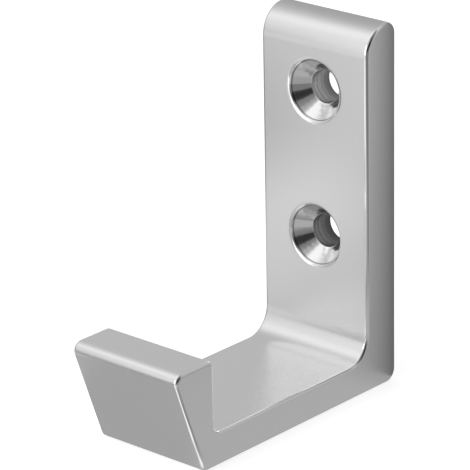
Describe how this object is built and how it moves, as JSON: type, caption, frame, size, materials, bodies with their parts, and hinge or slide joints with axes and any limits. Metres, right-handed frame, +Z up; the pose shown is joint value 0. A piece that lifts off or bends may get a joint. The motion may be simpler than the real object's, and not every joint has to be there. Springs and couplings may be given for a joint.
{
  "type": "coat hook",
  "caption": "One-piece wall hook: an upright plate with two countersunk screw holes, a flat arm along its foot and a lip that leans outwards.",
  "frame": {"origin": "on the wall plane, midway between the two screw holes", "axes": "+Z up the wall, +X across the hook, -Y out from the wall towards the lip"},
  "size_m": [0.0176, 0.0429, 0.05],
  "materials": {
    "satin_metal": "fine-blasted satin, natural silver, with bright turned countersinks"
  },
  "bodies": {
    "root": {"coat_hook": "satin_metal"}
  },
  "joints": []
}
